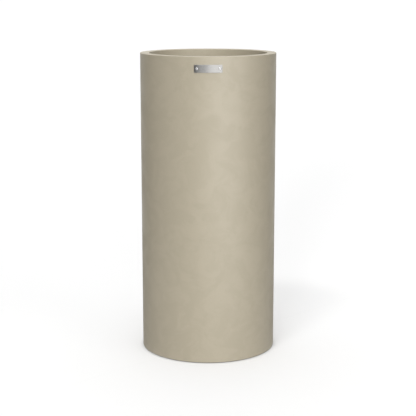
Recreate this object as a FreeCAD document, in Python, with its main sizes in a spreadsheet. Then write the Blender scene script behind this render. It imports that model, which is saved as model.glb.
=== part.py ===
"""Tall cylindrical fiberglass floor planter, in millimetres.

The origin is on the floor under the planter's centre, +Z is up and -Y is the front, where
the name plate sits. A hand-laid wall turns in at the top to a flat rim and down again to a
hidden lip. A floor tray with its own upturned lap is bonded in from below and taped to the
wall, so the planter stands on rubber pads under a flat foot ring, and its recessed floor
falls to a bunged drain hole.
"""

import FreeCAD
import Part

import math
import os
import re

import Sketcher

Vector = FreeCAD.Vector

# Every driving dimension, in millimetres or as a count or an angle in degrees.
SIZES = {
    # wall, rim and lip: one moulding
    "outer_diameter": 450,
    "overall_height": 1000,
    "wall_thickness": 5,
    "rim_width": 30,
    "rim_thickness": 5,
    "rim_outer_edge": 2,
    "rim_inner_edge": 3,
    "lip_depth": 60,
    "lip_thickness": 5,
    "wall_foot_edge": 2,
    # floor tray
    "bond_gap": 1,
    "tray_thickness": 5,
    "tray_lap_height": 45,
    "tray_outer_edge": 4,
    "foot_ring_width": 60,
    "recess_depth": 10,
    "recess_slope": 8,
    # drain hole in the middle of the floor
    "drain_diameter": 25,
    "drain_seat_diameter": 38,
    "drain_seat_depth": 2,
    "drain_boss_diameter": 56,
    "drain_boss_depth": 4,
    # fiberglass tape over the joint of tray and wall
    "tabbing_thickness": 2,
    "tabbing_rise": 50,
    "tabbing_fillet_rise": 12,
    # rubber drain bung
    "bung_clearance": 0.3,
    "bung_flange_diameter": 36,
    "bung_flange_thickness": 3,
    "bung_overhang": 3,
    "bung_lead_in": 1.5,
    "bung_neck_diameter": 9,
    "bung_neck_height": 6,
    "bung_knob_diameter": 16,
    "bung_knob_height": 5,
    "bung_knob_edge": 1.5,
    # curved name plate
    "plate_length": 90,
    "plate_height": 25,
    "plate_thickness": 1.2,
    "plate_clearance": 0.2,
    "plate_drop": 25,
    "plate_corner": 2,
    # blind rivets through plate and wall, with the mandrels that stay in them
    "rivet_spacing": 74,
    "rivet_diameter": 4,
    "rivet_clearance": 0.05,
    "rivet_head_diameter": 8,
    "rivet_head_height": 1.4,
    "rivet_head_edge": 0.9,
    "rivet_tail_diameter": 6.4,
    "rivet_tail_length": 4,
    "mandrel_diameter": 2.2,
    "mandrel_recess": 0.3,
    "mandrel_head_diameter": 3.6,
    "mandrel_head_length": 2,
    # square rubber pads in shallow sockets under the foot ring
    "foot_count": 4,
    "foot_start_angle": 45,
    "foot_side": 30,
    "foot_thickness": 3,
    "foot_socket_depth": 1,
    "foot_clearance": 0.3,
}

# Distances from the axis and heights that several pieces share, as formulas of the sizes.
OUTSIDE = "(outer_diameter / 2)"
WALL_INSIDE = f"({OUTSIDE} - wall_thickness)"
MOUTH = f"({OUTSIDE} - rim_width)"
LIP_BACK = f"({MOUTH} + lip_thickness)"
LIP_END = "(overall_height - lip_depth)"
RIM_UNDERSIDE = "(overall_height - rim_thickness)"

UNDERSIDE = "(foot_thickness - foot_socket_depth)"
LAP_OUTSIDE = f"({WALL_INSIDE} - bond_gap)"
LAP_INSIDE = f"({LAP_OUTSIDE} - tray_thickness)"
LAP_TOP = f"({UNDERSIDE} + tray_lap_height)"
RING_INSIDE = f"({OUTSIDE} - foot_ring_width)"
RECESS_RIM = f"({RING_INSIDE} - recess_slope)"
RECESS_ROOF = f"({UNDERSIDE} + recess_depth)"
FOOT_CIRCLE = f"(({RING_INSIDE} + {LAP_OUTSIDE}) / 2)"

FLOOR = f"({RECESS_ROOF} + tray_thickness)"
DRAIN_SEAT = f"({FLOOR} - drain_seat_depth)"
BOSS_END = f"({RECESS_ROOF} - drain_boss_depth)"

PLATE_TOP = "(overall_height - plate_drop)"
PLATE_BACK = f"({OUTSIDE} + plate_clearance)"
PLATE_FACE = f"({PLATE_BACK} + plate_thickness)"
RIVET_HEIGHT = f"({PLATE_TOP} - plate_height / 2)"
RIVET_ANGLE = f"(rivet_spacing / 2 / {PLATE_FACE} * 180 / pi)"
RIVET_GRIP_START = f"({WALL_INSIDE} - rivet_clearance)"
RIVET_HOLE = "(rivet_diameter / 2 + rivet_clearance)"
RIVET_TAIL_END = f"({RIVET_GRIP_START} - rivet_tail_length)"
RIVET_HEAD_TOP = f"({PLATE_FACE} + rivet_head_height)"

ON_AXIS = "0"
ON_FLOOR = "0"
FRONT = -90
SIDES = {"left": -1, "right": 1}
# How far an edge may lie from the corner that names it.
SAME_PLACE = 1e-4


def bound(formula):
    """The formula with the name of each size pointing at its cell."""
    return re.sub(r"[a-z_]{2,}", lambda word: cell(word.group(0)), formula)


def cell(word):
    return f"sizes.{word}" if word in SIZES else word


def write_sheet(doc):
    """Puts every driving dimension in a named cell."""
    sheet = doc.addObject("Spreadsheet::Sheet", "sizes")
    for row, (name, value) in enumerate(SIZES.items(), start=1):
        sheet.set(f"A{row}", name)
        sheet.set(f"B{row}", str(value))
        sheet.setAlias(f"B{row}", name)
    doc.recompute()
    return sheet


def new_body(doc, label):
    body = doc.addObject("PartDesign::Body", label)
    body.Label = label
    return body


def profile_sketch(body, corners):
    """A closed outline of straight sides in the body's XZ plane.

    Each corner is a distance from the axis and a height, both as formulas.
    """
    sketch = body.newObject("Sketcher::SketchObject", "profile")
    plane = next(f for f in body.Origin.OriginFeatures if f.Role == "XZ_Plane")
    sketch.AttachmentSupport = [(plane, "")]
    sketch.MapMode = "FlatFace"
    # The sides start as a regular polygon, and the constraints then pull each corner to its place.
    count = len(corners)
    turn = 2 * math.pi / count
    start = [Vector(200 + 50 * math.cos(i * turn), 200 + 50 * math.sin(i * turn)) for i in range(count)]
    for i in range(count):
        sketch.addGeometry(Part.LineSegment(start[i], start[(i + 1) % count]), False)
    for i in range(count):
        sketch.addConstraint(Sketcher.Constraint("Coincident", i, 2, (i + 1) % count, 1))
    for i, (radius, height) in enumerate(corners):
        pin_down(sketch, i, "DistanceX", radius, start[i].x)
        pin_down(sketch, i, "DistanceY", height, start[i].y)
    return sketch


def pin_down(sketch, side, direction, formula, start):
    """Holds the start of a side at a formula's distance from the sketch's origin."""
    if formula == ON_AXIS:
        axis = -2 if direction == "DistanceX" else -1
        sketch.addConstraint(Sketcher.Constraint("PointOnObject", side, 1, axis))
        return
    index = sketch.addConstraint(Sketcher.Constraint(direction, -1, 1, side, 1, start))
    sketch.setExpression(f"Constraints[{index}]", bound(formula))


def turn_profile(body, sketch):
    """The solid that the outline sweeps out in a full turn about the body's Z axis."""
    turned = body.newObject("PartDesign::Revolution", "turned")
    turned.Profile = (sketch, [""])
    turned.ReferenceAxis = (sketch, ["V_Axis"])
    turned.Angle = 360
    return turned


def dress(body, kind, base, edges, size):
    """Chamfers or fillets some edges of a feature by a formula's size."""
    feature = body.newObject(f"PartDesign::{kind}", kind)
    feature.Base = (base, edges)
    feature.setExpression("Radius" if kind == "Fillet" else "Size", bound(size))
    body.Document.recompute()
    return feature


def circles_at(feature, places):
    """The names of a feature's circular edges about Z, one for each given radius and height."""
    names = []
    for number, edge in enumerate(feature.Shape.Edges, start=1):
        if not isinstance(edge.Curve, Part.Circle):
            continue
        place = Vector(edge.Curve.Radius, edge.Curve.Center.z)
        if any(place.isEqual(wanted, SAME_PLACE) for wanted in places):
            names.append(f"Edge{number}")
    if len(names) != len(places):
        raise RuntimeError(f"{feature.Name} has {len(names)} of the {len(places)} edges to chamfer")
    return names


def lathe(doc, label, corners):
    """A body turned about Z from a profile whose corners may name the size of their chamfer."""
    body = new_body(doc, label)
    sketch = profile_sketch(body, [corner[:2] for corner in corners])
    feature = turn_profile(body, sketch)
    doc.recompute()
    places = {}
    for i, corner in enumerate(corners):
        for size in corner[2:]:
            places.setdefault(size, []).append(sketch.Geometry[i].StartPoint)
    for size, wanted in places.items():
        feature = dress(body, "Chamfer", feature, circles_at(feature, wanted), size)
    return body


def at(angle, distance, height, tilt=0):
    """A placement at an angle about Z, with its own Z tilted outwards by some degrees."""
    return f"placement(vector({distance} * cos({angle}); {distance} * sin({angle}); {height}); " \
           f"rotation({angle}; {tilt}; 0))"


def drill(body, name, placement, radius, depth):
    """Cuts a round hole that starts at a placement and runs along its Z."""
    hole = body.newObject("PartDesign::SubtractiveCylinder", name)
    hole.setExpression("Placement", bound(placement))
    hole.setExpression("Radius", bound(radius))
    hole.setExpression("Height", bound(depth))
    body.Document.recompute()
    return hole


def drill_for_rivets(body, front):
    """The pair of rivet holes, through whatever of the plate and wall the body holds."""
    for side, sign in SIDES.items():
        placement = at(f"({front} + {sign} * {RIVET_ANGLE})", RIVET_GRIP_START, RIVET_HEIGHT, tilt=90)
        depth = f"{PLATE_FACE} + rivet_clearance - {RIVET_GRIP_START}"
        drill(body, f"rivet_hole_{side}", placement, RIVET_HOLE, depth)


def shell(doc):
    """The wall, the flat rim and the lip that hangs inside it, with the plate's rivet holes."""
    body = lathe(doc, "shell", [
        (WALL_INSIDE, UNDERSIDE),
        (OUTSIDE, UNDERSIDE, "wall_foot_edge"),
        (OUTSIDE, "overall_height", "rim_outer_edge"),
        (MOUTH, "overall_height", "rim_inner_edge"),
        (MOUTH, LIP_END),
        (LIP_BACK, LIP_END),
        (LIP_BACK, RIM_UNDERSIDE),
        (WALL_INSIDE, RIM_UNDERSIDE),
    ])
    drill_for_rivets(body, FRONT)
    return body


def base_tray(doc):
    """The floor: an upturned lap, a flat foot ring, a raised middle and a thickened drain hole."""
    # The sloping step keeps the laminate's thickness when its upper corners move out by this.
    slant = "sqrt(recess_slope^2 + recess_depth^2)"
    shift = f"tray_thickness * ({slant} - recess_slope) / recess_depth"
    ring_top = f"{UNDERSIDE} + tray_thickness"
    body = lathe(doc, "base_tray", [
        ("drain_diameter / 2", BOSS_END),
        ("drain_boss_diameter / 2", BOSS_END),
        ("drain_boss_diameter / 2", RECESS_ROOF),
        (RECESS_RIM, RECESS_ROOF),
        (RING_INSIDE, UNDERSIDE),
        (LAP_OUTSIDE, UNDERSIDE, "tray_outer_edge"),
        (LAP_OUTSIDE, LAP_TOP),
        (LAP_INSIDE, LAP_TOP),
        (LAP_INSIDE, ring_top),
        (f"{RING_INSIDE} + {shift}", ring_top),
        (f"{RECESS_RIM} + {shift}", FLOOR),
        ("drain_seat_diameter / 2", FLOOR),
        ("drain_seat_diameter / 2", DRAIN_SEAT),
        ("drain_diameter / 2", DRAIN_SEAT),
    ])
    first_place = at("foot_start_angle", FOOT_CIRCLE, ON_FLOOR)
    socket = square_block(body, "Subtractive", "foot_side + 2 * foot_clearance", first_place)
    sockets = body.newObject("PartDesign::PolarPattern", "foot_sockets")
    sockets.Originals = [socket]
    sockets.Axis = (next(f for f in body.Origin.OriginFeatures if f.Role == "Z_Axis"), [""])
    sockets.Angle = 360
    sockets.setExpression("Occurrences", bound("foot_count"))
    body.Tip = sockets
    return body


def bond_bead(doc):
    """The ring of bonding paste between the tray's lap and the wall."""
    start = f"{UNDERSIDE} + tray_outer_edge"
    return lathe(doc, "bond_bead", [
        (LAP_OUTSIDE, start),
        (WALL_INSIDE, start),
        (WALL_INSIDE, LAP_TOP),
        (LAP_OUTSIDE, LAP_TOP),
    ])


def corner_tabbing(doc):
    """The tape up the wall, whose lower end spreads over the lap's top on a fillet of resin."""
    tape_face = f"{WALL_INSIDE} - tabbing_thickness"
    tape_top = f"{LAP_TOP} + tabbing_rise"
    return lathe(doc, "corner_tabbing", [
        (LAP_INSIDE, LAP_TOP),
        (WALL_INSIDE, LAP_TOP),
        (WALL_INSIDE, tape_top),
        (tape_face, tape_top),
        (tape_face, f"{LAP_TOP} + tabbing_fillet_rise"),
    ])


def drain_bung(doc):
    """A rubber bung: a plug with a lead-in, a flange on the drain's seat and a knob to pull."""
    plug = "drain_diameter / 2 - bung_clearance"
    plug_end = f"{BOSS_END} - bung_overhang"
    flange_base = f"({DRAIN_SEAT} + bung_clearance)"
    flange_top = f"({flange_base} + bung_flange_thickness)"
    neck_top = f"({flange_top} + bung_neck_height)"
    knob_top = f"({neck_top} + bung_knob_height)"
    return lathe(doc, "drain_bung", [
        (ON_AXIS, plug_end),
        (plug, plug_end, "bung_lead_in"),
        (plug, flange_base),
        ("bung_flange_diameter / 2", flange_base),
        ("bung_flange_diameter / 2", flange_top),
        ("bung_neck_diameter / 2", flange_top),
        ("bung_neck_diameter / 2", neck_top),
        ("bung_knob_diameter / 2", neck_top),
        ("bung_knob_diameter / 2", knob_top, "bung_knob_edge"),
        (ON_AXIS, knob_top),
    ])


def name_plate(doc):
    """A bare metal plate bent to the wall, with rounded corners."""
    body = new_body(doc, "name_plate")
    bottom = f"{PLATE_TOP} - plate_height"
    sketch = profile_sketch(body, [
        (PLATE_BACK, bottom),
        (PLATE_FACE, bottom),
        (PLATE_FACE, PLATE_TOP),
        (PLATE_BACK, PLATE_TOP),
    ])
    bent = turn_profile(body, sketch)
    bent.Midplane = True
    bent.setExpression("Angle", bound(f"plate_length / {PLATE_FACE} * 180 / pi"))
    doc.recompute()
    corners = [f"Edge{number}" for number, edge in enumerate(bent.Shape.Edges, start=1)
               if isinstance(edge.Curve, Part.Line) and abs(edge.Curve.Direction.z) < SAME_PLACE]
    dress(body, "Fillet", bent, corners, "plate_corner")
    drill_for_rivets(body, 0)
    body.Placement = FreeCAD.Placement(Vector(), FreeCAD.Rotation(Vector(0, 0, 1), FRONT))
    return body


def rivet(doc, side):
    """A set blind rivet, turned about its own axis and laid along the planter's radius."""
    bore = "(mandrel_diameter / 2 + rivet_clearance)"
    body = lathe(doc, f"plate_rivet_{side}", [
        (bore, RIVET_TAIL_END),
        ("rivet_tail_diameter / 2", RIVET_TAIL_END),
        ("rivet_tail_diameter / 2", RIVET_GRIP_START),
        ("rivet_diameter / 2", RIVET_GRIP_START),
        ("rivet_diameter / 2", PLATE_FACE),
        ("rivet_head_diameter / 2", PLATE_FACE),
        ("rivet_head_diameter / 2", RIVET_HEAD_TOP, "rivet_head_edge"),
        (bore, RIVET_HEAD_TOP),
    ])
    return lay_radially(body, side)


def mandrel(doc, side):
    """The steel mandrel left in a blind rivet, with its head against the rivet's tail."""
    head_end = f"({RIVET_TAIL_END} - mandrel_head_length)"
    broken_end = f"({RIVET_HEAD_TOP} - mandrel_recess)"
    body = lathe(doc, f"rivet_mandrel_{side}", [
        (ON_AXIS, head_end),
        ("mandrel_head_diameter / 2", head_end),
        ("mandrel_head_diameter / 2", RIVET_TAIL_END),
        ("mandrel_diameter / 2", RIVET_TAIL_END),
        ("mandrel_diameter / 2", broken_end),
        (ON_AXIS, broken_end),
    ])
    return lay_radially(body, side)


def lay_radially(body, side):
    """Points a body's own Z outwards through one of the rivet holes."""
    angle = f"({FRONT} + {SIDES[side]} * {RIVET_ANGLE})"
    body.setExpression("Placement", bound(at(angle, ON_AXIS, RIVET_HEIGHT, tilt=90)))
    return body


def square_block(body, kind, side, placement):
    """A block as tall as a foot pad, centred on a placement on the floor, to add or to cut."""
    block = body.newObject(f"PartDesign::{kind}Box", "block")
    block.setExpression("Length", bound(side))
    block.setExpression("Width", bound(side))
    block.setExpression("Height", bound("foot_thickness"))
    corner = f"placement(vector(-({side}) / 2; -({side}) / 2; 0); rotation(0; 0; 0))"
    block.setExpression("Placement", bound(f"{placement} * {corner}"))
    body.Document.recompute()
    return block


def foot_pad(doc, number):
    """A square rubber pad that sits in one of the sockets under the foot ring."""
    body = new_body(doc, f"foot_pad_{number + 1}")
    angle = f"(foot_start_angle + 360 * {number} / foot_count)"
    square_block(body, "Additive", "foot_side", at(angle, FOOT_CIRCLE, ON_FLOOR))
    return body


def check(doc, bodies):
    """Stops at the first feature that failed, and at a piece that isn't one sound solid."""
    for item in doc.Objects:
        if {"Invalid", "Error"} & set(item.State):
            raise RuntimeError(f"{item.Name} failed: {item.State}")
    for body in bodies:
        shape = body.Shape
        if shape.isNull() or not shape.isValid() or len(shape.Solids) != 1:
            raise RuntimeError(f"{body.Label} is not one valid solid")


def main():
    doc = FreeCAD.newDocument("planter")
    sheet = write_sheet(doc)
    bodies = [shell(doc), base_tray(doc), bond_bead(doc), corner_tabbing(doc), drain_bung(doc)]
    bodies.append(name_plate(doc))
    for side in SIDES:
        bodies += [rivet(doc, side), mandrel(doc, side)]
    bodies += [foot_pad(doc, number) for number in range(int(sheet.foot_count))]
    doc.recompute()
    check(doc, bodies)
    os.makedirs("parts", exist_ok=True)
    for body in bodies:
        body.Shape.exportStep(f"parts/{body.Label}.step")
        print(f"{body.Label}: {body.Shape.Volume / 1000:.2f} cm3")


main()
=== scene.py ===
"""Looks of a tall round fiberglass floor planter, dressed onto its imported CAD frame.

Lengths are metres, +Z is up and -Y is the front. Run as a script it builds every piece, the
stage and the camera; register() alone adds the same operators to the 3D view's sidebar.
"""

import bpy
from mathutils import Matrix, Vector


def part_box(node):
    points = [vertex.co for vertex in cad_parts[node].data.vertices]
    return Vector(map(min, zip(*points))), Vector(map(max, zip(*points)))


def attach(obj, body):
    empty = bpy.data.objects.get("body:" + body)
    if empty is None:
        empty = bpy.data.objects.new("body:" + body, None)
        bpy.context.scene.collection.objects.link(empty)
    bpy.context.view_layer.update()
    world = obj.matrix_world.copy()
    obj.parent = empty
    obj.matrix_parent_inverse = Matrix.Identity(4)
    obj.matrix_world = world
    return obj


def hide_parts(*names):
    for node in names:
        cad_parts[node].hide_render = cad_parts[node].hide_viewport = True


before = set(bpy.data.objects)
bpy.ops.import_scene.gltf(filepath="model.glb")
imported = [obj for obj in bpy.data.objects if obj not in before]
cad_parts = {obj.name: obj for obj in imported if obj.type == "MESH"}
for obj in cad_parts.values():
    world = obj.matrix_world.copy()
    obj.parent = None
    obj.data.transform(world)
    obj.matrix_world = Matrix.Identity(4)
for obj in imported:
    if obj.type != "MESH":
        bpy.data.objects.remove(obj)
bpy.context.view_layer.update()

import math

import bpy
import numpy as np
from bpy.props import FloatProperty, FloatVectorProperty, PointerProperty

bl_info = {
    "name": "Fiberglass floor planter",
    "version": (1, 0, 0),
    "blender": (4, 5, 0),
    "location": "3D View > Sidebar > Planter",
    "description": "Builds the visible pieces, finishes and stage of a tall floor planter",
    "category": "Add Mesh",
}

MM = 0.001
TAU = 2 * math.pi
PLANTER = "planter"
BUNG = "drain_bung"
SIDES = ("left", "right")


# ---------------------------------------------------------------- measures of the CAD frame

def corners_of(node):
    """The corners of a CAD node's mesh as an (n, 3) array."""
    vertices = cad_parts[node].data.vertices
    places = np.empty(len(vertices) * 3, np.float32)
    vertices.foreach_get("co", places)
    return places.reshape(-1, 3).astype(float)


def reach(node):
    """A turned node's inner and outer radius, and its lowest and highest point."""
    places = corners_of(node)
    distance = np.hypot(places[:, 0], places[:, 1])
    extremes = distance.min(), distance.max(), places[:, 2].min(), places[:, 2].max()
    return [round(float(value), 5) for value in extremes]


MOUTH, OUTSIDE, UNDERSIDE, TOP = reach("shell")
DRAIN, LAP_OUTSIDE, _, LAP_TOP = reach("base_tray")
_, WALL_INSIDE, _, _ = reach("bond_bead")
LAP_INSIDE, _, _, TAPE_TOP = reach("corner_tabbing")
_, BUNG_FLANGE, BUNG_FOOT, BUNG_TOP = reach("drain_bung")
PLATE_BACK, PLATE_FACE, PLATE_FOOT, PLATE_TOP = reach("name_plate")
FOOT_PADS = sorted(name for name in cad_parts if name.startswith("foot_pad"))


# ---------------------------------------------------------------- sizes and colours to change

def linear(hex_value):
    """A hex sRGB colour as linear red, green and blue."""
    values = [int(hex_value[i:i + 2], 16) / 255 for i in (0, 2, 4)]
    return [v / 12.92 if v <= 0.04045 else ((v + 0.055) / 1.055) ** 2.4 for v in values]


def length(name, description, default):
    """A size in metres that the sidebar shows in the scene's own unit."""
    return FloatProperty(name=name, description=description, default=default, min=0.0,
                         unit="LENGTH", subtype="DISTANCE", precision=4)


def colour(name, description, hex_value):
    """A colour that the sidebar shows as a swatch."""
    return FloatVectorProperty(name=name, description=description, default=linear(hex_value),
                               size=3, min=0.0, max=1.0, subtype="COLOR")


class PlanterSizes(bpy.types.PropertyGroup):
    """Sizes that the frame's boxes don't give."""
    rim_outer_round: length("Rim outer round", "Radius of the rim's outer edge", 0.8 * MM)
    rim_inner_round: length("Rim inner round", "Radius of the rim's inner edge", 1.5 * MM)
    foot_round: length("Foot round", "Radius of the wall's lower outer edge", 1.5 * MM)
    skin: length("Laminate", "Thickness of wall, rim, lip and floor", 5 * MM)
    lip_depth: length("Lip depth", "How far the lip hangs down inside the mouth", 60 * MM)
    inside_corner: length("Inside corner", "Radius of a laid-up inside corner", 8 * MM)
    foot_ring: length("Foot ring", "Width of the flat ring from the wall's outside", 60 * MM)
    recess_depth: length("Recess depth", "Height of the floor's recess over the foot ring", 10 * MM)
    recess_slope: length("Recess slope", "Width of the slope between ring and recess", 8 * MM)
    drain_seat: length("Drain seat", "Radius of the seat round the drain hole", 19 * MM)
    drain_seat_depth: length("Drain seat depth", "Depth of the seat below the floor", 2 * MM)
    drain_boss: length("Drain boss", "Radius of the boss under the drain hole", 28 * MM)
    drain_boss_depth: length("Drain boss depth", "Depth of that boss", 4 * MM)
    tape: length("Tape", "Thickness of the tape over the joint", 2 * MM)
    tape_fillet: length("Tape fillet", "Rise of the resin fillet under the tape", 12 * MM)
    plate_corner: length("Plate corner", "Radius of the plate's corners", 2 * MM)
    plate_bevel: length("Plate bevel", "Width of the bevel round the plate's face", 0.5 * MM)
    rivet_head: length("Rivet head", "Radius of a rivet's head", 4 * MM)
    pad_corner: length("Pad corner", "Radius of a foot pad's corners", 3 * MM)


class PlanterColours(bpy.types.PropertyGroup):
    """Colours of the finishes."""
    stone_light: colour("Stone, light", "Gelcoat where the pad has passed lightly", "B3AA96")
    stone_dark: colour("Stone, dark", "Gelcoat where it is rubbed duller", "AFA692")
    laminate_resin: colour("Laminate, resin", "Resin-rich places of the raw inside", "9A927D")
    laminate_fibre: colour("Laminate, fibre", "Glass strands of the raw inside", "B8B19C")
    paste: colour("Bonding paste", "Cured bonding paste", "A49E90")
    rubber: colour("Rubber", "Moulded rubber of bung and feet", "232323")
    plate: colour("Plate", "Brushed stainless steel", "A09F9D")
    rivet: colour("Rivet", "Drawn aluminium", "E0E0E1")
    mandrel: colour("Mandrel", "Plain steel", "8C8B89")
    floor: colour("Floor", "Studio floor, in the light that it throws back", "989898")


# ---------------------------------------------------------------- meshes from arrays

# How many strips go round each turned piece.
WALL_STRIPS, TRAY_STRIPS, TAPE_STRIPS, BUNG_STRIPS, RIVET_STRIPS = 512, 320, 384, 160, 72
# Radius of a trimmed and sanded edge of laminate.
TRIMMED = 0.8 * MM
# The sharpest corner that a slab's outline gets.
SHARPEST = 0.1 * MM


def put_mesh(name, places, faces, material, body, replaced, uvs=None):
    """Makes a smooth piece and ties it to the frame.

    Places are the corners, (n, 3). Faces are arrays of corner numbers, one array for each
    number of sides. UVs go with the faces' corners in that order.
    """
    mesh = bpy.data.meshes.new(name)
    mesh.vertices.add(len(places))
    mesh.vertices.foreach_set("co", places.astype(np.float32).ravel())
    sides = np.concatenate([np.full(len(group), group.shape[1]) for group in faces])
    loops = np.concatenate([group.ravel() for group in faces])
    mesh.loops.add(len(loops))
    mesh.loops.foreach_set("vertex_index", loops.astype(np.int32))
    mesh.polygons.add(len(sides))
    starts = np.concatenate(([0], np.cumsum(sides)[:-1]))
    mesh.polygons.foreach_set("loop_start", starts.astype(np.int32))
    mesh.polygons.foreach_set("use_smooth", np.ones(len(sides), bool))
    if uvs is not None:
        layer = mesh.uv_layers.new(name="unrolled")
        layer.data.foreach_set("uv", uvs.astype(np.float32).ravel())
    mesh.update(calc_edges=True)
    if mesh.validate():
        raise RuntimeError(f"{name} had faces that Blender can't keep")
    mesh.materials.append(material)
    piece = bpy.data.objects.new(name, mesh)
    bpy.context.scene.collection.objects.link(piece)
    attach(piece, body)
    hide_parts(*replaced)
    return piece


def rounded(corners, closed=True, steps=7, row=25 * MM, hold=0.3 * MM):
    """An outline of straight sides and arcs through (x, y, round) corners, as an (n, 2) array.

    The arc at a corner C with unit directions A and B along its sides and an angle 2h between
    them touches both sides at round / tan(h) from C. Its points are centre + slerp of the two
    radii. A side longer than four holds gets a point one hold from each arc, so that the
    shading of the arc doesn't run into it, and further points no more than a row apart.
    """
    spots = np.array([corner[:2] for corner in corners], float)
    rounds = [corner[2] if len(corner) > 2 else 0.0 for corner in corners]
    count = len(spots)
    arcs = []
    for i, (spot, size) in enumerate(zip(spots, rounds)):
        if size == 0 or (not closed and i in (0, count - 1)):
            arcs.append(spot[None])
            continue
        to_last = spots[i - 1] - spot
        to_next = spots[(i + 1) % count] - spot
        to_last /= np.linalg.norm(to_last)
        to_next /= np.linalg.norm(to_next)
        half = math.acos(np.clip(to_last @ to_next, -1, 1)) / 2
        middle = (to_last + to_next) / np.linalg.norm(to_last + to_next)
        centre = spot + middle * size / math.sin(half)
        start = spot + to_last * size / math.tan(half) - centre
        end = spot + to_next * size / math.tan(half) - centre
        sweep = math.pi - 2 * half
        share = np.linspace(0, 1, steps + 1)[:, None]
        arcs.append(centre + (np.sin((1 - share) * sweep) * start + np.sin(share * sweep) * end)
                    / math.sin(sweep))
    points = []
    for i, arc in enumerate(arcs):
        points.append(arc)
        if not closed and i == count - 1:
            break
        start, end = arc[-1], arcs[(i + 1) % count][0]
        span = np.linalg.norm(end - start)
        if span > 4 * hold:
            inner = np.linspace(hold, span - hold, max(2, math.ceil(span / row) + 1)) / span
            points.append(start + inner[:, None] * (end - start))
    return np.concatenate(points)


def turned(profile, strips, closed=True):
    """A profile of (distance, height) carried round Z: its corners, faces and UVs.

    Corner (i, j) is (r_j cos a_i, r_j sin a_i, z_j), for strip i and profile point j. An open
    profile starts and ends on the axis, and its two ends become single corners with a fan of
    triangles. The profile runs with the solid on its left, so all faces point outwards. UVs are
    the length round the outermost circle and the length along the profile.
    """
    rings = profile if closed else profile[1:-1]
    angles = np.arange(strips + 1) * TAU / strips
    circle = np.stack((np.cos(angles[:-1]), np.sin(angles[:-1])), 1)
    places = np.empty((strips, len(rings), 3))
    places[..., :2] = circle[:, None] * rings[:, 0, None]
    places[..., 2] = rings[:, 1]
    places = places.reshape(-1, 3)
    count = len(rings)
    i = np.arange(strips)[:, None]
    j = np.arange(count if closed else count - 1)
    near, far = i * count, (i + 1) % strips * count
    up = (j + 1) % count
    faces = [np.stack((near + j, far + j, far + up, near + up), -1).reshape(-1, 4)]
    along = np.concatenate(([0], np.cumsum(np.linalg.norm(np.diff(rings, axis=0), axis=1))))
    along = np.append(along, along[-1] + np.linalg.norm(rings[-1] - rings[0]))
    around = angles * rings[:, 0].max()
    u = np.stack((around[i], around[i + 1], around[i + 1], around[i]), -1)
    v = np.stack((along[j], along[j], along[j + 1], along[j + 1]), -1)
    uvs = [np.stack(np.broadcast_arrays(u, v), -1).reshape(-1, 2)]
    if not closed:
        start, end = len(places), len(places) + 1
        places = np.concatenate((places, [[0, 0, profile[0, 1]], [0, 0, profile[-1, 1]]]))
        near, far = near[:, 0], far[:, 0]
        faces.append(np.stack((np.full(strips, start), far, near), -1))
        faces.append(np.stack((np.full(strips, end), near + count - 1, far + count - 1), -1))
        uvs.append(np.zeros((6 * strips, 2)))
    return places, faces, np.concatenate(uvs)


def outline(half_length, half_height, corner, corner_points):
    """Points round a rectangle with rounded corners, counter-clockwise: (20 * corner_points, 2).

    Each corner is a quarter circle of corner_points points, and each side that follows it has
    four times as many, so that the slab can be bent.
    """
    quarter = np.linspace(0, math.pi / 2, corner_points)
    turns = quarter + np.arange(4)[:, None] * math.pi / 2
    signs = np.array([[1, 1], [-1, 1], [-1, -1], [1, -1]])[:, None]
    arcs = signs * (half_length - corner, half_height - corner) \
        + corner * np.stack((np.cos(turns), np.sin(turns)), -1)
    share = np.linspace(0, 1, 4 * corner_points + 2)[1:-1, None]
    start, end = arcs[:, -1:], np.roll(arcs, -1, 0)[:, :1]
    return np.concatenate((arcs, start + share * (end - start)), 1).reshape(-1, 2)


def tablet(half_length, half_height, corner, rows, corner_points):
    """A closed slab with rounded corners, as rings of its outline between two poles.

    Each row is (share, inset, depth): ring j is share_j times the outline drawn inset_j further
    in, at depth_j. The rows run from the middle of the front over the edge to the middle of
    the back.
    """
    rings = []
    for share, inset, depth in rows:
        ring = share * outline(half_length - inset, half_height - inset,
                               max(corner - inset, SHARPEST), corner_points)
        rings.append(np.column_stack((ring, np.full(len(ring), depth))))
    around, last = len(rings[0]), len(rings) - 1
    poles = [[0, 0, rows[0][2]], [0, 0, rows[-1][2]]]
    places = np.concatenate(rings + [poles])
    front_pole, back_pole = len(places) - 2, len(places) - 1
    i = np.arange(around)
    after = (i + 1) % around
    j = np.arange(last)[:, None] * around
    sides = np.stack((j + i, j + around + i, j + around + after, j + after), -1).reshape(-1, 4)
    front = np.stack((np.full(around, front_pole), i, after), -1)
    edge = last * around
    back = np.stack((np.full(around, back_pole), edge + after, edge + i), -1)
    return places, [sides, front, back]


# ---------------------------------------------------------------- materials

# Sockets of the Mix node when it mixes colours.
MIX_FACTOR, MIX_A, MIX_B, MIX_RESULT = 0, 6, 7, 2
# What the camera sees of the floor: this share of the light that falls on it, and plain white,
# which is darkened within this reach of whatever stands there, a painted contact shadow at its
# foot.
SHADOW_SHARE, FLOOR_WHITE, PAINTED_SHADE_REACH = 0.73, 0.25, 14 * MM
BACKGROUND_RAYS = ("Is Camera Ray", "Is Glossy Ray", "Is Transmission Ray")


def add(tree, kind, inputs=None, **settings):
    """Adds a node with its settings. Each input is a value or the output of another node."""
    node = tree.nodes.new(kind)
    for name, value in settings.items():
        setattr(node, name, value)
    for socket, value in (inputs or {}).items():
        if isinstance(value, bpy.types.NodeSocket):
            tree.links.new(value, node.inputs[socket])
        else:
            node.inputs[socket].default_value = value
    return node


def blank_material(name):
    """An empty material, its node tree and its output node."""
    material = bpy.data.materials.new(name)
    material.use_nodes = True
    tree = material.node_tree
    tree.nodes.clear()
    return material, tree, add(tree, "ShaderNodeOutputMaterial")


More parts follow.
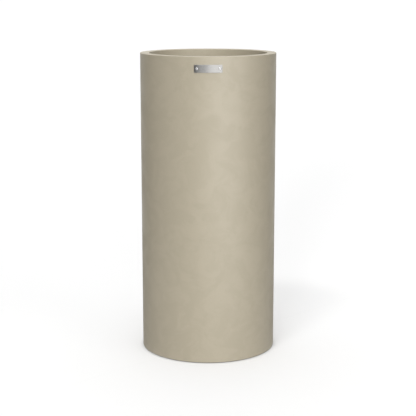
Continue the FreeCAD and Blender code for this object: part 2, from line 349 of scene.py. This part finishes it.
def stone_filled_gelcoat(colours):
    """Polyester gelcoat with a stone filler, sprayed into the mould, sanded satin and sealed.

    The wall is one even colour. Soft clouds and the arcs of the sanding pad show mostly in the
    gloss, so they come out where the light is reflected, and the filler gives a fine tooth.
    """
    material, tree, output = blank_material("stone_filled_gelcoat")
    place = add(tree, "ShaderNodeTexCoord").outputs["Object"]
    # Clouds about 70 mm across.
    cloud = add(tree, "ShaderNodeTexNoise", {
        "Vector": place, "Scale": 1 / (70 * MM), "Detail": 5.0, "Roughness": 0.6,
        "Distortion": 0.8})
    # Arcs of a pad's turns, where a slow pattern 240 mm across passes its middle value.
    turns = add(tree, "ShaderNodeTexNoise", {
        "Vector": place, "Scale": 1 / (240 * MM), "Detail": 2.0, "Roughness": 0.45,
        "Distortion": 1.2})
    level = add(tree, "ShaderNodeMath", {0: turns.outputs["Fac"], 1: 0.5}, operation="SUBTRACT")
    off = add(tree, "ShaderNodeMath", {0: level.outputs[0]}, operation="ABSOLUTE")
    arc = add(tree, "ShaderNodeMapRange", {
        "Value": off.outputs[0],
        "From Min": 0.0, "From Max": 0.035, "To Min": 1.0, "To Max": 0.0},
        interpolation_type="SMOOTHSTEP")
    worn = add(tree, "ShaderNodeMapRange", {
        "Value": cloud.outputs["Fac"],
        "From Min": 0.36, "From Max": 0.64, "To Min": 1.0, "To Max": 0.0},
        interpolation_type="SMOOTHSTEP")
    rubbed = add(tree, "ShaderNodeMath", {0: arc.outputs[0], 1: worn.outputs[0]},
                 operation="MULTIPLY")
    dull = add(tree, "ShaderNodeMath", {0: rubbed.outputs[0], 1: 0.6, 2: worn.outputs[0]},
               operation="MULTIPLY_ADD")
    tone = add(tree, "ShaderNodeMix", {
        MIX_FACTOR: dull.outputs[0], MIX_A: (*colours.stone_light, 1.0),
        MIX_B: (*colours.stone_dark, 1.0)}, data_type="RGBA")
    # Filler grains of 1.2 mm, drawn a little coarser than sand so that they show.
    grain = add(tree, "ShaderNodeTexNoise", {
        "Vector": place, "Scale": 1 / (1.2 * MM), "Detail": 2.0, "Roughness": 0.7})
    speck = add(tree, "ShaderNodeMapRange", {
        "Value": grain.outputs["Fac"],
        "From Min": 0.3, "From Max": 0.7, "To Min": 0.97, "To Max": 1.03})
    shade = add(tree, "ShaderNodeVectorMath", {0: tone.outputs[MIX_RESULT], 1: speck.outputs[0]},
                operation="MULTIPLY")
    gloss = add(tree, "ShaderNodeMapRange", {
        "Value": dull.outputs[0],
        "From Min": 0.0, "From Max": 1.6, "To Min": 0.44, "To Max": 0.60})
    tooth = add(tree, "ShaderNodeBump", {
        "Height": grain.outputs["Fac"], "Strength": 0.3, "Distance": 0.12 * MM})
    # Slow waves of the mould's surface, 90 mm long and a fraction of a millimetre high.
    wave = add(tree, "ShaderNodeTexNoise", {"Vector": place, "Scale": 1 / (90 * MM), "Detail": 1.0})
    relief = add(tree, "ShaderNodeBump", {
        "Height": wave.outputs["Fac"], "Normal": tooth.outputs[0],
        "Strength": 0.5, "Distance": 0.3 * MM})
    shader = add(tree, "ShaderNodeBsdfPrincipled", {
        "Base Color": shade.outputs[0], "Roughness": gloss.outputs[0], "Normal": relief.outputs[0],
        "IOR": 1.56})
    tree.links.new(shader.outputs[0], output.inputs["Surface"])
    return material


def hand_laid_laminate(colours):
    """Chopped glass mat rolled out by hand with polyester resin, left raw.

    Strands 45 mm long lie in every direction under uneven, glossy resin, and show paler than
    the resin-rich places between them.
    """
    material, tree, output = blank_material("hand_laid_laminate")
    unrolled = add(tree, "ShaderNodeUVMap", uv_map="unrolled").outputs[0]
    strands = None
    # Four layers of strands 1.5 mm wide, each turned by these degrees and shifted off the others.
    for turn in (12, 58, 101, 149):
        layer = add(tree, "ShaderNodeMapping", {
            "Vector": unrolled, "Rotation": (0.0, 0.0, math.radians(turn)),
            "Location": (turn * 0.37, turn * 0.11, 0.0)})
        narrow = add(tree, "ShaderNodeMapping", {
            "Vector": layer.outputs[0], "Scale": (1 / (45 * MM), 1 / (1.5 * MM), 1.0)})
        lay = add(tree, "ShaderNodeTexNoise", {
            "Vector": narrow.outputs[0], "Scale": 1.0, "Detail": 1.0, "Distortion": 0.15},
            noise_dimensions="2D")
        if strands is None:
            strands = lay.outputs["Fac"]
        else:
            strands = add(tree, "ShaderNodeMath", {0: strands, 1: lay.outputs["Fac"]},
                          operation="MAXIMUM").outputs[0]
    place = add(tree, "ShaderNodeTexCoord").outputs["Object"]
    # Resin pools about 60 mm across.
    pool = add(tree, "ShaderNodeTexNoise", {"Vector": place, "Scale": 1 / (60 * MM), "Detail": 3.0})
    fibre = add(tree, "ShaderNodeMapRange", {
        "Value": strands, "From Min": 0.5, "From Max": 0.75, "To Min": 0.0, "To Max": 1.0})
    tone = add(tree, "ShaderNodeMix", {
        MIX_FACTOR: fibre.outputs[0], MIX_A: (*colours.laminate_resin, 1.0),
        MIX_B: (*colours.laminate_fibre, 1.0)}, data_type="RGBA")
    depth = add(tree, "ShaderNodeMapRange", {
        "Value": pool.outputs["Fac"],
        "From Min": 0.3, "From Max": 0.7, "To Min": 0.85, "To Max": 1.1})
    shade = add(tree, "ShaderNodeVectorMath", {0: tone.outputs[MIX_RESULT], 1: depth.outputs[0]},
                operation="MULTIPLY")
    relief = add(tree, "ShaderNodeBump", {
        "Height": fibre.outputs[0], "Strength": 0.6, "Distance": 0.3 * MM})
    sag = add(tree, "ShaderNodeBump", {
        "Height": pool.outputs["Fac"], "Normal": relief.outputs[0],
        "Strength": 0.6, "Distance": 1.5 * MM})
    gloss = add(tree, "ShaderNodeMapRange", {
        "Value": pool.outputs["Fac"],
        "From Min": 0.3, "From Max": 0.7, "To Min": 0.5, "To Max": 0.3})
    shader = add(tree, "ShaderNodeBsdfPrincipled", {
        "Base Color": shade.outputs[0], "Roughness": gloss.outputs[0], "Normal": sag.outputs[0],
        "IOR": 1.55})
    tree.links.new(shader.outputs[0], output.inputs["Surface"])
    return material


def polyester_paste(colours):
    """Filled polyester paste, squeezed out and cured dull, with trowel-like ripples."""
    material, tree, output = blank_material("polyester_paste")
    place = add(tree, "ShaderNodeTexCoord").outputs["Object"]
    # Ripples and lumps about 6 mm across.
    lump = add(tree, "ShaderNodeTexNoise", {"Vector": place, "Scale": 1 / (6 * MM), "Detail": 3.0})
    shade = add(tree, "ShaderNodeMix", {
        MIX_FACTOR: lump.outputs["Fac"], MIX_A: (*colours.paste, 1.0),
        MIX_B: (*colours.laminate_resin, 1.0)}, data_type="RGBA")
    relief = add(tree, "ShaderNodeBump", {
        "Height": lump.outputs["Fac"], "Strength": 0.6, "Distance": 0.6 * MM})
    shader = add(tree, "ShaderNodeBsdfPrincipled", {
        "Base Color": shade.outputs[MIX_RESULT], "Roughness": 0.65, "Normal": relief.outputs[0]})
    tree.links.new(shader.outputs[0], output.inputs["Surface"])
    return material


def moulded_rubber(colours):
    """Black rubber from a sand-blasted mould: dull, with a grey bloom in soft patches."""
    material, tree, output = blank_material("moulded_rubber")
    place = add(tree, "ShaderNodeTexCoord").outputs["Object"]
    # Bloom in patches of 12 mm, tooth of 0.4 mm.
    bloom = add(tree, "ShaderNodeTexNoise", {
        "Vector": place, "Scale": 1 / (12 * MM), "Detail": 3.0})
    tooth = add(tree, "ShaderNodeTexNoise", {
        "Vector": place, "Scale": 1 / (0.4 * MM), "Detail": 1.0})
    lift = add(tree, "ShaderNodeMapRange", {
        "Value": bloom.outputs["Fac"],
        "From Min": 0.35, "From Max": 0.7, "To Min": 0.85, "To Max": 1.6})
    shade = add(tree, "ShaderNodeVectorMath", {0: colours.rubber, 1: lift.outputs[0]},
                operation="MULTIPLY")
    gloss = add(tree, "ShaderNodeMapRange", {
        "Value": bloom.outputs["Fac"],
        "From Min": 0.3, "From Max": 0.7, "To Min": 0.55, "To Max": 0.75})
    relief = add(tree, "ShaderNodeBump", {
        "Height": tooth.outputs["Fac"], "Strength": 0.3, "Distance": 0.05 * MM})
    shader = add(tree, "ShaderNodeBsdfPrincipled", {
        "Base Color": shade.outputs[0], "Roughness": gloss.outputs[0], "Normal": relief.outputs[0],
        "IOR": 1.52})
    tree.links.new(shader.outputs[0], output.inputs["Surface"])
    return material


def brushed_stainless_steel(colours):
    """Stainless sheet brushed along its length: fine level scratches draw highlights upright."""
    material, tree, output = blank_material("brushed_stainless_steel")
    place = add(tree, "ShaderNodeTexCoord").outputs["Object"]
    # Scratches 30 mm long and 0.25 mm apart, drawn coarser than the real 0.05 mm.
    drawn = add(tree, "ShaderNodeMapping", {
        "Vector": place, "Scale": (1 / (30 * MM), 1 / (30 * MM), 1 / (0.25 * MM))})
    scratch = add(tree, "ShaderNodeTexNoise", {
        "Vector": drawn.outputs[0], "Scale": 1.0, "Detail": 3.0, "Roughness": 0.65})
    lift = add(tree, "ShaderNodeMapRange", {
        "Value": scratch.outputs["Fac"],
        "From Min": 0.3, "From Max": 0.7, "To Min": 0.88, "To Max": 1.08})
    shade = add(tree, "ShaderNodeVectorMath", {0: colours.plate, 1: lift.outputs[0]},
                operation="MULTIPLY")
    gloss = add(tree, "ShaderNodeMapRange", {
        "Value": scratch.outputs["Fac"],
        "From Min": 0.3, "From Max": 0.7, "To Min": 0.24, "To Max": 0.36})
    relief = add(tree, "ShaderNodeBump", {
        "Height": scratch.outputs["Fac"], "Strength": 0.15, "Distance": 0.02 * MM})
    shader = add(tree, "ShaderNodeBsdfPrincipled", {
        "Base Color": shade.outputs[0], "Metallic": 1.0, "Roughness": gloss.outputs[0],
        "Anisotropic": 0.5, "Anisotropic Rotation": 0.25, "Normal": relief.outputs[0]})
    tree.links.new(shader.outputs[0], output.inputs["Surface"])
    return material


def drawn_metal(name, shade, roughness, mark_size):
    """Plain drawn metal with faint handling marks of a given size."""
    material, tree, output = blank_material(name)
    place = add(tree, "ShaderNodeTexCoord").outputs["Object"]
    mark = add(tree, "ShaderNodeTexNoise", {"Vector": place, "Scale": 1 / mark_size, "Detail": 4.0})
    lift = add(tree, "ShaderNodeMapRange", {
        "Value": mark.outputs["Fac"],
        "From Min": 0.3, "From Max": 0.7, "To Min": 0.9, "To Max": 1.05})
    marked = add(tree, "ShaderNodeVectorMath", {0: shade, 1: lift.outputs[0]}, operation="MULTIPLY")
    gloss = add(tree, "ShaderNodeMapRange", {
        "Value": mark.outputs["Fac"], "From Min": 0.3, "From Max": 0.7,
        "To Min": roughness * 0.8, "To Max": roughness * 1.2})
    shader = add(tree, "ShaderNodeBsdfPrincipled", {
        "Base Color": marked.outputs[0], "Metallic": 1.0, "Roughness": gloss.outputs[0]})
    tree.links.new(shader.outputs[0], output.inputs["Surface"])
    return material


def drawn_aluminium(colours):
    """The rivets' aluminium, bright from the die, with marks of 3 mm from the setting tool."""
    return drawn_metal("drawn_aluminium", colours.rivet, 0.22, 3 * MM)


def drawn_steel(colours):
    """The mandrels' plain steel wire, duller, with marks of 1 mm from the jaws that pulled it."""
    return drawn_metal("drawn_steel", colours.mandrel, 0.45, 1 * MM)


def either_ray(tree, *kinds):
    """The output of a Light Path test that is 1 for any of some kinds of ray."""
    seen = add(tree, "ShaderNodeLightPath")
    test = seen.outputs[kinds[0]]
    for kind in kinds[1:]:
        test = add(tree, "ShaderNodeMath", {0: test, 1: seen.outputs[kind]},
                   operation="MAXIMUM").outputs[0]
    return test


def studio_floor(colours):
    """Matt white studio floor: to the eye mostly plain white, with the soft shadows and a painted
    contact shadow.
    """
    material, tree, output = blank_material("studio_floor")
    matt = add(tree, "ShaderNodeBsdfDiffuse", {"Color": (*colours.floor, 1.0)})
    shadowed = add(tree, "ShaderNodeBsdfDiffuse", {"Color": (SHADOW_SHARE,) * 3 + (1.0,)})
    # Painted contact shadow: ambient occlusion darkens the white near whatever stands on the floor.
    painted_contact_shade = add(tree, "ShaderNodeAmbientOcclusion", {"Distance": PAINTED_SHADE_REACH}, samples=8)
    white = add(tree, "ShaderNodeEmission", {
        "Color": painted_contact_shade.outputs["Color"], "Strength": FLOOR_WHITE})
    both = add(tree, "ShaderNodeAddShader", {0: shadowed.outputs[0], 1: white.outputs[0]})
    mixed = add(tree, "ShaderNodeMixShader", {
        0: either_ray(tree, *BACKGROUND_RAYS), 1: matt.outputs[0], 2: both.outputs[0]})
    tree.links.new(mixed.outputs[0], output.inputs["Surface"])
    return material


def lit_card(brightness):
    """Matt studio card that shines evenly or is black, with no pattern, as it is only reflected."""
    material, tree, output = blank_material("lit_card")
    light = add(tree, "ShaderNodeEmission", {"Color": (1, 1, 1, 1), "Strength": brightness})
    tree.links.new(light.outputs[0], output.inputs["Surface"])
    return material


def finish(maker):
    """The material of a maker function, made at its first use."""
    return bpy.data.materials.get(maker.__name__) or maker(bpy.context.scene.planter_colours)


# ---------------------------------------------------------------- pieces

# Waves of the tape's cut edge: height, how many go round the planter, and where they start.
TAPE_WAVES = ((1.6 * MM, 5, 0.7), (1.1 * MM, 13, 2.1), (0.6 * MM, 37, 4.0))


class PLANTER_OT_wall(bpy.types.Operator):
    """Builds the moulded wall with its flat rim and hidden lip"""
    bl_idname = "planter.wall"
    bl_label = "Wall, rim and lip"

    def execute(self, context):
        sizes = context.scene.planter_sizes
        lip_end, back = TOP - sizes.lip_depth, MOUTH + sizes.skin
        # Nearly half the lip's thickness, so that a hair's breadth is left between its two rounds.
        lip_round = sizes.skin / 2 - 0.05 * MM
        # Up the outside, over the rim, down the lip and back up behind it.
        profile = rounded([
            (WALL_INSIDE, UNDERSIDE, TRIMMED),
            (OUTSIDE, UNDERSIDE, sizes.foot_round),
            (OUTSIDE, TOP, sizes.rim_outer_round),
            (MOUTH, TOP, sizes.rim_inner_round),
            (MOUTH, lip_end, lip_round),
            (back, lip_end, lip_round),
            (back, TOP - sizes.skin, sizes.inside_corner),
            (WALL_INSIDE, TOP - sizes.skin, sizes.inside_corner),
        ])
        places, faces, uvs = turned(profile, WALL_STRIPS)
        piece = put_mesh("wall_rim_and_lip", places, faces, finish(stone_filled_gelcoat),
                         PLANTER, ["shell"], uvs)
        # The laminate shows on the back of lip, rim and wall, from the lip's end to the foot.
        piece.data.materials.append(finish(hand_laid_laminate))
        start = np.argmin(np.hypot(profile[:, 0] - back, profile[:, 1] - lip_end - lip_round))
        behind = np.arange(len(profile)) >= start
        piece.data.polygons.foreach_set(
            "material_index", np.tile(behind, WALL_STRIPS).astype(np.int32))
        return {"FINISHED"}


class PLANTER_OT_floor(bpy.types.Operator):
    """Builds the floor tray, dresses the paste and lays the tape over the joint"""
    bl_idname = "planter.floor"
    bl_label = "Floor tray, paste and tape"

    def execute(self, context):
        sizes = context.scene.planter_sizes
        laminate = finish(hand_laid_laminate)
        ring = OUTSIDE - sizes.foot_ring
        recess = ring - sizes.recess_slope
        roof = UNDERSIDE + sizes.recess_depth
        level = roof + sizes.skin
        seat = level - sizes.drain_seat_depth
        boss_end = roof - sizes.drain_boss_depth
        # The slope is as thick as the rest where its upper side lies this much further out.
        slant = math.hypot(sizes.recess_slope, sizes.recess_depth)
        shift = sizes.skin * (slant - sizes.recess_slope) / sizes.recess_depth
        # A bend is tighter against the mould than on the side that is laid up.
        mould_bend, laid_bend, seat_edge = 4 * MM, 6 * MM, 0.6 * MM
        profile = rounded([
            (DRAIN, boss_end, TRIMMED),
            (sizes.drain_boss, boss_end, 1.5 * MM),
            (sizes.drain_boss, roof, 2 * MM),
            (recess, roof, mould_bend),
            (ring, UNDERSIDE, mould_bend),
            (LAP_OUTSIDE, UNDERSIDE, mould_bend),
            (LAP_OUTSIDE, LAP_TOP, TRIMMED),
            (LAP_INSIDE, LAP_TOP, TRIMMED),
            (LAP_INSIDE, UNDERSIDE + sizes.skin, sizes.inside_corner),
            (ring + shift, UNDERSIDE + sizes.skin, laid_bend),
            (recess + shift, level, laid_bend),
            (sizes.drain_seat, level, TRIMMED),
            (sizes.drain_seat, seat, seat_edge),
            (DRAIN, seat, seat_edge),
        ], steps=6)
        places, faces, _ = turned(profile, TRAY_STRIPS)
        # On the flat floor the mat's pattern lies in the plane, not round the axis.
        flat = places[np.concatenate([group.ravel() for group in faces])][:, :2]
        put_mesh("floor_tray", places, faces, laminate, PLANTER, ["base_tray"], flat)
        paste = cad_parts["bond_bead"]
        paste.data.materials.clear()
        paste.data.materials.append(finish(polyester_paste))
        # The tape thins to its cut edge over a short height, as the roller leaves it.
        face = WALL_INSIDE - sizes.tape
        thin, feather = 0.6 * MM, 8 * MM
        tape = rounded([
            (LAP_INSIDE, LAP_TOP, 0.3 * MM),
            (WALL_INSIDE, LAP_TOP, 0.3 * MM),
            (WALL_INSIDE, TAPE_TOP, 0.2 * MM),
            (WALL_INSIDE - thin, TAPE_TOP, 0.25 * MM),
            (face, TAPE_TOP - feather, laid_bend),
            (face, LAP_TOP + sizes.tape_fillet, laid_bend),
        ])
        places, faces, uvs = turned(tape, TAPE_STRIPS)
        # The cut edge wanders below the tape's full height, and its upper half goes with it.
        angle = np.arctan2(places[:, 1], places[:, 0])
        wander = sum(high * (np.sin(times * angle + start) - 1)
                     for high, times, start in TAPE_WAVES)
        height = (places[:, 2] - LAP_TOP) / (TAPE_TOP - LAP_TOP)
        places[:, 2] += np.clip(2 * height - 1, 0, 2) * wander
        put_mesh("joint_tape", places, faces, laminate, PLANTER,
                 ["corner_tabbing"], uvs)
        return {"FINISHED"}


class PLANTER_OT_bung(bpy.types.Operator):
    """Builds the rubber bung in the drain hole"""
    bl_idname = "planter.bung"
    bl_label = "Drain bung"

    def execute(self, context):
        play, taper = 0.3 * MM, 1.5 * MM
        plug, neck, knob = DRAIN - play, 4.5 * MM, 8 * MM
        knob_height, neck_height, flange_height = 5 * MM, 6 * MM, 3 * MM
        knob_foot = BUNG_TOP - knob_height
        flange_top = knob_foot - neck_height
        flange_foot = flange_top - flange_height
        profile = rounded([
            (0.0, BUNG_FOOT),
            (plug - taper, BUNG_FOOT, 0.6 * MM),
            (plug, BUNG_FOOT + taper, 0.8 * MM),
            (plug, flange_foot, 0.3 * MM),
            (BUNG_FLANGE, flange_foot, 0.5 * MM),
            (BUNG_FLANGE, flange_top, 1 * MM),
            (neck, flange_top, 1.5 * MM),
            (neck, knob_foot, 0.8 * MM),
            (knob, knob_foot, 1.2 * MM),
            (knob, BUNG_TOP, 2 * MM),
            (0.0, BUNG_TOP),
        ], closed=False, row=6 * MM, hold=0.15 * MM)
        places, faces, _ = turned(profile, BUNG_STRIPS, closed=False)
        put_mesh("drain_bung_rubber", places, faces, finish(moulded_rubber), BUNG,
                 ["drain_bung"])
        return {"FINISHED"}


class PLANTER_OT_plate(bpy.types.Operator):
    """Builds the bare brushed plate, bent to the wall"""
    bl_idname = "planter.plate"
    bl_label = "Plate"

    def execute(self, context):
        sizes = context.scene.planter_sizes
        places = corners_of("name_plate")
        angles = np.arctan2(places[:, 0], -places[:, 1])
        half_length = float(np.ptp(angles)) / 2 * PLATE_FACE
        half_height = (PLATE_TOP - PLATE_FOOT) / 2
        thick, bevel = PLATE_FACE - PLATE_BACK, sizes.plate_bevel
        # Rings near enough to each other to bend, and one close to the bevel to keep the face flat.
        shares = np.linspace(0.04, 1, 24)[:-1]
        rows = [(share, bevel, thick) for share in shares]
        rows += [(1, bevel * 1.15, thick), (1, bevel, thick)]
        # The bevel falls by less than its width. The back's edge is only broken.
        fall, broken, broken_up = 0.6 * bevel, 0.1 * MM, 0.15 * MM
        rows += [(1, bevel * (1 - math.sin(a)), thick - fall * (1 - math.cos(a)))
                 for a in np.linspace(0, math.pi / 2, 6)[1:]]
        rows += [(1, 0, broken_up), (1, broken, 0)]
        rows += [(share, broken, 0) for share in shares[::-1]]
        flat, faces = tablet(half_length, half_height, sizes.plate_corner, rows, corner_points=8)
        # Rolled round the wall: x becomes an angle, depth a distance from the axis.
        turn, distance = flat[:, 0] / PLATE_FACE, PLATE_BACK + flat[:, 2]
        height = (PLATE_TOP + PLATE_FOOT) / 2 + flat[:, 1]
        bent = np.column_stack((distance * np.sin(turn), -distance * np.cos(turn), height))
        put_mesh("plate", bent, faces, finish(brushed_stainless_steel), PLANTER,
                 ["name_plate"])
        return {"FINISHED"}


class PLANTER_OT_rivets(bpy.types.Operator):
    """Builds the two blind rivets with their mandrels"""
    bl_idname = "planter.rivets"
    bl_label = "Rivets"

    def execute(self, context):
        sizes = context.scene.planter_sizes
        metal = finish(drawn_aluminium)
        steel = finish(drawn_steel)
        bore, shank, tail, head = 1.15 * MM, 2 * MM, 3.2 * MM, sizes.rivet_head
        play, tail_length, head_height, head_rim = 0.05 * MM, 4 * MM, 1.4 * MM, 0.35 * MM
        # The head's dome starts at its rim and is nearly flat from this radius inwards.
        dome = 0.72 * head
        grip = WALL_INSIDE - play
        tail_end = grip - tail_length
        top = PLATE_FACE + head_height
        rivet = rounded([
            (bore, tail_end, 0.1 * MM),
            (tail, tail_end, 1.2 * MM),
            (tail, grip, 0.3 * MM),
            (shank, grip, 0.2 * MM),
            (shank, PLATE_FACE, 0.2 * MM),
            (head, PLATE_FACE, 0.15 * MM),
            (head, PLATE_FACE + head_rim, 0.2 * MM),
            (dome, top - 0.25 * MM, 1.6 * MM),
            (bore + 0.5 * MM, top, 0.3 * MM),
            (bore, top - 0.3 * MM, 0.15 * MM),
        ], steps=5, row=2 * MM, hold=0.04 * MM)
        # The mandrel's wire, its broken end below the rivet's top, and its head behind the tail.
        wire, broken, ball, ball_length = 1.1 * MM, 0.5 * MM, 1.8 * MM, 2 * MM
        stem = rounded([
            (0.0, tail_end - ball_length),
            (ball, tail_end - ball_length, 0.5 * MM),
            (ball, tail_end, 0.1 * MM),
            (wire, tail_end, 0.1 * MM),
            (wire, top - 0.45 * MM, 0.15 * MM),
            (broken, top - 0.3 * MM, 0.1 * MM),
            (0.0, top - 0.35 * MM),
        ], closed=False, steps=4, row=2 * MM, hold=0.04 * MM)
        for side in SIDES:
            rivet_node, mandrel_node = f"plate_rivet_{side}", f"rivet_mandrel_{side}"
            near = corners_of(rivet_node).mean(0)
            out = np.array([near[0], near[1], 0]) / math.hypot(near[0], near[1])
            # The turned shape's own Z points out of the wall, its X straight down.
            axes = np.array([[0, 0, -1], np.cross(out, [0, 0, -1]), out])
            low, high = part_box(rivet_node)
            height = (low.z + high.z) / 2
            for name, profile, closed, material, slot, node in (
                    (f"rivet_{side}", rivet, True, metal, "rivet_aluminium", rivet_node),
                    (f"mandrel_{side}", stem, False, steel, "mandrel_steel", mandrel_node)):
                places, faces, _ = turned(profile, RIVET_STRIPS, closed)
                put_mesh(name, places @ axes + (0, 0, height), faces, material, PLANTER,
                         [node])
        return {"FINISHED"}


class PLANTER_OT_feet(bpy.types.Operator):
    """Builds the rubber pads under the foot ring"""
    bl_idname = "planter.feet"
    bl_label = "Foot pads"

    def execute(self, context):
        sizes = context.scene.planter_sizes
        rubber = finish(moulded_rubber)
        # The round of a pad's edges, the rings on its two flat faces, and the steps of a round.
        edge = 0.6 * MM
        shares = (0.3, 0.7, 0.95)
        quarter = np.linspace(0, math.pi / 2, 5)
        for node in FOOT_PADS:
            low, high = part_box(node)
            middle = (low + high) / 2
            angle = math.atan2(middle.y, middle.x)
            # The square stands with one side towards the axis, so its box is wider by the turn.
            half = (high.x - low.x) / 2 / (abs(math.cos(angle)) + abs(math.sin(angle)))
            thick = high.z - low.z
            rows = [(share, edge, thick) for share in (*shares, 1.0)]
            rows += [(1, edge * (1 - math.sin(a)), thick - edge * (1 - math.cos(a)))
                     for a in quarter[1:]]
            rows += [(1, edge * (1 - math.cos(a)), edge * (1 - math.sin(a))) for a in quarter]
            rows += [(share, edge, 0.0) for share in reversed(shares)]
            flat, faces = tablet(half, half, sizes.pad_corner, rows, corner_points=6)
            cos, sin = math.cos(angle), math.sin(angle)
            flat[:, :2] = flat[:, :2] @ np.array([[cos, sin], [-sin, cos]]) + (middle.x, middle.y)
            put_mesh(f"{node}_rubber", flat, faces, rubber, PLANTER, [node])
        return {"FINISHED"}


# ---------------------------------------------------------------- stage

# Soft lamps so far off that they light the floor evenly: name, degrees to the right of the
# camera, degrees up, strength, how wide each looks in degrees, and whether it is reflected.
LAMPS = (
    ("window_front", 5, 12, 1.22, 42, False),
    ("window_right", 50, 12, 0.94, 46, False),
    ("window_back", 180, 8, 0.55, 60, False),
    ("lamp_low", -12, 12, 0.9, 10, False),
    ("lamp_left", -27, 57, 0.64, 12, True),
    ("ceiling", -170, 80, 1.55, 60, True),
)
# Cards round the planter that are only reflected, as in a product studio: name, first and last
# degrees to the right of the camera, (distance, height) of its two edges, and how bright.
CARDS = (
    ("black_card_left", -130, -18, (1.5, 0.0), (1.5, 2.4), 0.0),
    ("black_card_right", 60, 130, (1.5, 0.0), (1.5, 2.4), 0.0),
    ("white_card_front", 0, 47, (1.5, 0.0), (1.5, 2.4), 2.05),
    ("grey_card_floor", -180, 180, (1.49, 0.002), (0.24, 0.002), 0.5),
)
CARD_STRIPS = 24
AMBIENT = 0.16
# How far the floor goes on each side, so that its edge lies on the horizon.
FLOOR_REACH = 600.0
# The camera's place, the degrees by which it looks down, and its lens and sensor in millimetres.
CAMERA_PLACE, CAMERA_DOWN = (-0.0007, -3.742, 1.2235), 11.308
LENS_LENGTH, SENSOR_WIDTH = 97.2, 36.0


class PLANTER_OT_stage(bpy.types.Operator):
    """Builds the floor, the cards, the lamps, the white surroundings and the camera"""
    bl_idname = "planter.stage"
    bl_label = "Stage"

    def execute(self, context):
        scene = context.scene
        mesh = bpy.data.meshes.new("studio_floor")
        mesh.from_pydata([(x * FLOOR_REACH, y * FLOOR_REACH, 0)
                          for x, y in ((-1, -1), (1, -1), (1, 1), (-1, 1))], [], [(0, 1, 2, 3)])
        mesh.materials.append(finish(studio_floor))
        floor = bpy.data.objects.new("studio_floor", mesh)
        scene.collection.objects.link(floor)
        for name, first, last, foot, top, brightness in CARDS:
            # A strip of a cone round Z: corner (a, k) is (d_k sin a, -d_k cos a, h_k), k = 0, 1.
            turn = np.radians(np.linspace(first, last, CARD_STRIPS + 1))
            circle = np.column_stack((np.sin(turn), -np.cos(turn)))
            edges = [np.column_stack((circle * far, np.full(len(turn), height)))
                     for far, height in (foot, top)]
            i = np.arange(CARD_STRIPS)
            above = i + len(turn)
            mesh = bpy.data.meshes.new(name)
            mesh.from_pydata(np.concatenate(edges).tolist(), [],
                             np.column_stack((i, i + 1, above + 1, above)).tolist())
            mesh.materials.append(lit_card(brightness))
            card = bpy.data.objects.new(name, mesh)
            scene.collection.objects.link(card)
            card.visible_camera = card.visible_diffuse = card.visible_shadow = False
            card.visible_transmission = card.visible_volume_scatter = False
        for name, azimuth, height, strength, width, reflected in LAMPS:
            lamp = bpy.data.lights.new(name, "SUN")
            lamp.energy = strength
            lamp.angle = math.radians(width)
            holder = bpy.data.objects.new(name, lamp)
            holder.visible_glossy = reflected
            scene.collection.objects.link(holder)
            # A lamp shines along its own -Z, which is tipped up from straight down, then turned.
            holder.rotation_euler = (math.radians(90 - height), 0, math.radians(azimuth))
        world = bpy.data.worlds.new("studio")
        scene.world = world
        world.use_nodes = True
        tree = world.node_tree
        tree.nodes.clear()
        ambient = add(tree, "ShaderNodeBackground", {"Color": (1, 1, 1, 1), "Strength": AMBIENT})
        white = add(tree, "ShaderNodeBackground", {"Color": (1, 1, 1, 1), "Strength": 1.0})
        mixed = add(tree, "ShaderNodeMixShader", {
            0: either_ray(tree, *BACKGROUND_RAYS), 1: ambient.outputs[0], 2: white.outputs[0]})
        output = add(tree, "ShaderNodeOutputWorld")
        tree.links.new(mixed.outputs[0], output.inputs["Surface"])
        lens = bpy.data.cameras.new("camera")
        lens.sensor_width = SENSOR_WIDTH
        lens.lens = LENS_LENGTH
        lens.clip_start, lens.clip_end = 0.1, 2000.0
        camera = bpy.data.objects.new("camera", lens)
        scene.collection.objects.link(camera)
        camera.location = CAMERA_PLACE
        camera.rotation_euler = (math.radians(90 - CAMERA_DOWN), 0, 0)
        scene.camera = camera
        scene.view_settings.view_transform = "Standard"
        return {"FINISHED"}


# ---------------------------------------------------------------- add-on

class PLANTER_PT_panel(bpy.types.Panel):
    """Lists the sizes, the colours and the pieces to build"""
    bl_idname = "PLANTER_PT_panel"
    bl_label = "Floor planter"
    bl_space_type = "VIEW_3D"
    bl_region_type = "UI"
    bl_category = "Planter"

    def draw(self, context):
        for group in (context.scene.planter_sizes, context.scene.planter_colours):
            box = self.layout.box()
            for name in group.__annotations__:
                box.prop(group, name)
        for operator in OPERATORS:
            self.layout.operator(operator.bl_idname)


OPERATORS = (
    PLANTER_OT_wall,
    PLANTER_OT_floor,
    PLANTER_OT_bung,
    PLANTER_OT_plate,
    PLANTER_OT_rivets,
    PLANTER_OT_feet,
    PLANTER_OT_stage,
)
CLASSES = (PlanterSizes, PlanterColours) + OPERATORS + (PLANTER_PT_panel,)


def register():
    for item in CLASSES:
        bpy.utils.register_class(item)
    bpy.types.Scene.planter_sizes = PointerProperty(type=PlanterSizes)
    bpy.types.Scene.planter_colours = PointerProperty(type=PlanterColours)


def unregister():
    del bpy.types.Scene.planter_colours
    del bpy.types.Scene.planter_sizes
    for item in reversed(CLASSES):
        bpy.utils.unregister_class(item)


def main():
    register()
    for operator in (bpy.ops.planter.wall, bpy.ops.planter.floor, bpy.ops.planter.bung,
                     bpy.ops.planter.plate, bpy.ops.planter.rivets, bpy.ops.planter.feet,
                     bpy.ops.planter.stage):
        operator()


if __name__ == "__main__":
    main()
